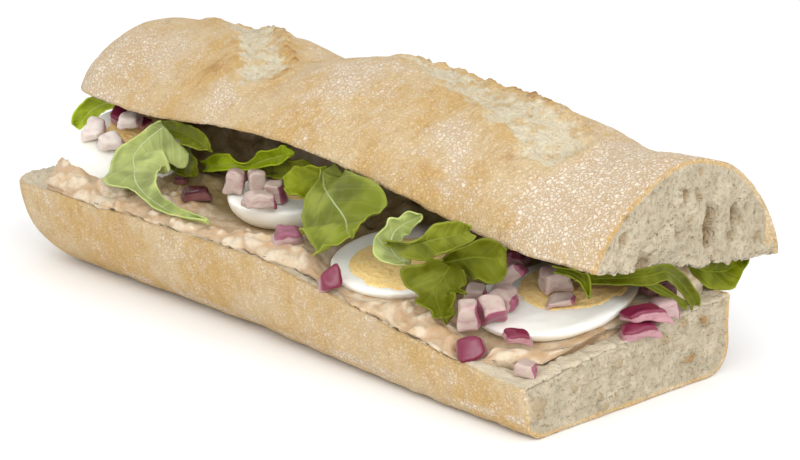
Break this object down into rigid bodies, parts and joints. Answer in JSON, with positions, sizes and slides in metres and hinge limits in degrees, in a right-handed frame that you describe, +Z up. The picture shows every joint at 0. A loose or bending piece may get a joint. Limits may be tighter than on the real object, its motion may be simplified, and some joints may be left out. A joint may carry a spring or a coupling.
{
  "type": "submarine sandwich",
  "caption": "Split crusty baguette filled with tuna spread, sliced boiled egg, chopped red onion and rocket leaves, one end rounded and the other cut.",
  "frame": {"origin": "middle of the flat underside of the bottom half of the bread", "axes": "+X along the length towards the cut end, -Y towards the open side that shows the filling, +Z up"},
  "size_m": [0.2446, 0.1065, 0.0752],
  "materials": {
    "crust": "baked bread crust, dry and floury, with pale crumb where it is cut",
    "tuna_spread": "moist lumpy tuna spread",
    "egg_white": "boiled egg white, smooth and slightly moist",
    "egg_yolk": "boiled egg yolk, dry and crumbly",
    "red_onion": "raw red onion, moist, with purple skin edges",
    "rocket": "fresh salad leaf, thin, with pale veins"
  },
  "bodies": {
    "root": {"bread_base": "crust", "bread_lid": "crust", "spread": "tuna_spread", "egg_white_1": "egg_white", "egg_yolk_1": "egg_yolk", "egg_white_2": "egg_white", "egg_yolk_2": "egg_yolk", "egg_white_3": "egg_white", "egg_yolk_3": "egg_yolk", "egg_white_4": "egg_white", "egg_yolk_4": "egg_yolk", "onion_1": "red_onion", "onion_2": "red_onion", "onion_3": "red_onion", "onion_4": "red_onion", "onion_5": "red_onion", "onion_6": "red_onion", "onion_7": "red_onion", "onion_8": "red_onion", "onion_9": "red_onion", "onion_10": "red_onion", "onion_11": "red_onion", "onion_12": "red_onion", "onion_13": "red_onion", "onion_14": "red_onion", "onion_15": "red_onion", "onion_16": "red_onion", "onion_17": "red_onion", "onion_18": "red_onion", "onion_19": "red_onion", "onion_20": "red_onion", "onion_21": "red_onion", "onion_22": "red_onion", "onion_23": "red_onion", "onion_24": "red_onion", "onion_25": "red_onion", "onion_26": "red_onion", "onion_27": "red_onion", "onion_28": "red_onion", "onion_29": "red_onion", "rocket_leaf_1": "rocket", "rocket_leaf_2": "rocket", "rocket_leaf_3": "rocket", "rocket_leaf_4": "rocket", "rocket_leaf_5": "rocket", "rocket_leaf_6": "rocket", "rocket_leaf_7": "rocket", "rocket_leaf_8": "rocket", "rocket_leaf_9": "rocket", "rocket_leaf_10": "rocket", "rocket_leaf_11": "rocket", "rocket_leaf_12": "rocket", "rocket_leaf_13": "rocket", "rocket_leaf_14": "rocket", "rocket_leaf_15": "rocket", "rocket_leaf_16": "rocket"}
  },
  "joints": []
}
